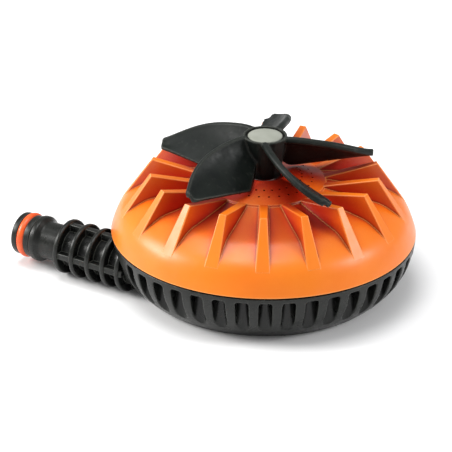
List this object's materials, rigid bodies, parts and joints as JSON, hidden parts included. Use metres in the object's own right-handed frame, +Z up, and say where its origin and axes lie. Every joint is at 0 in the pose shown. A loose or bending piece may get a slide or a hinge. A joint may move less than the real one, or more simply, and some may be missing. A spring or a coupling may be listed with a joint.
{
  "type": "lawn sprinkler",
  "caption": "Low round lawn sprinkler: finned cover with a ring of jets, fluted base, side hose nipple and a free-spinning bladed rotor.",
  "frame": {"origin": "centre of the flat resting face, straight under the rotor axis", "axes": "+Z up along the rotor axis, -X along the inlet nipple towards the hose"},
  "size_m": [0.1436, 0.114, 0.0596],
  "materials": {
    "cover_orange": "satin-gloss moulded ABS",
    "base_black": "satin moulded polypropylene",
    "rotor_black": "satin moulded polypropylene",
    "cap_grey": "fine matt moulded plastic",
    "seal_orange": "moulded silicone rubber",
    "seal_black": "moulded rubber",
    "strainer_white": "natural nylon",
    "pipe_grey": "moulded plastic",
    "bearing_white": "acetal",
    "steel": "stainless steel"
  },
  "bodies": {
    "base": {"base_shell": "base_black", "dome_cover": "cover_orange", "inlet_nipple": "base_black", "nose_o_ring": "seal_orange", "nipple_seal": "seal_black", "inlet_strainer": "strainer_white", "feed_pipe": "pipe_grey", "chamber_cup": "pipe_grey", "chamber_seal": "seal_black", "feed_seal": "seal_black", "chamber_screws": "steel", "base_screws": "steel", "spindle": "steel", "spindle_nut": "steel", "lower_washer": "bearing_white", "upper_washer": "steel", "retaining_screw": "steel"},
    "rotor": {"rotor": "rotor_black", "lower_bush": "bearing_white", "upper_bush": "bearing_white", "hub_cap": "cap_grey"}
  },
  "joints": [
    {"name": "rotor_spin", "type": "hinge", "parent": "base", "child": "rotor", "pos_m": [0, 0, 0.05], "axis": [0, 0, 1], "continuous": true}
  ]
}
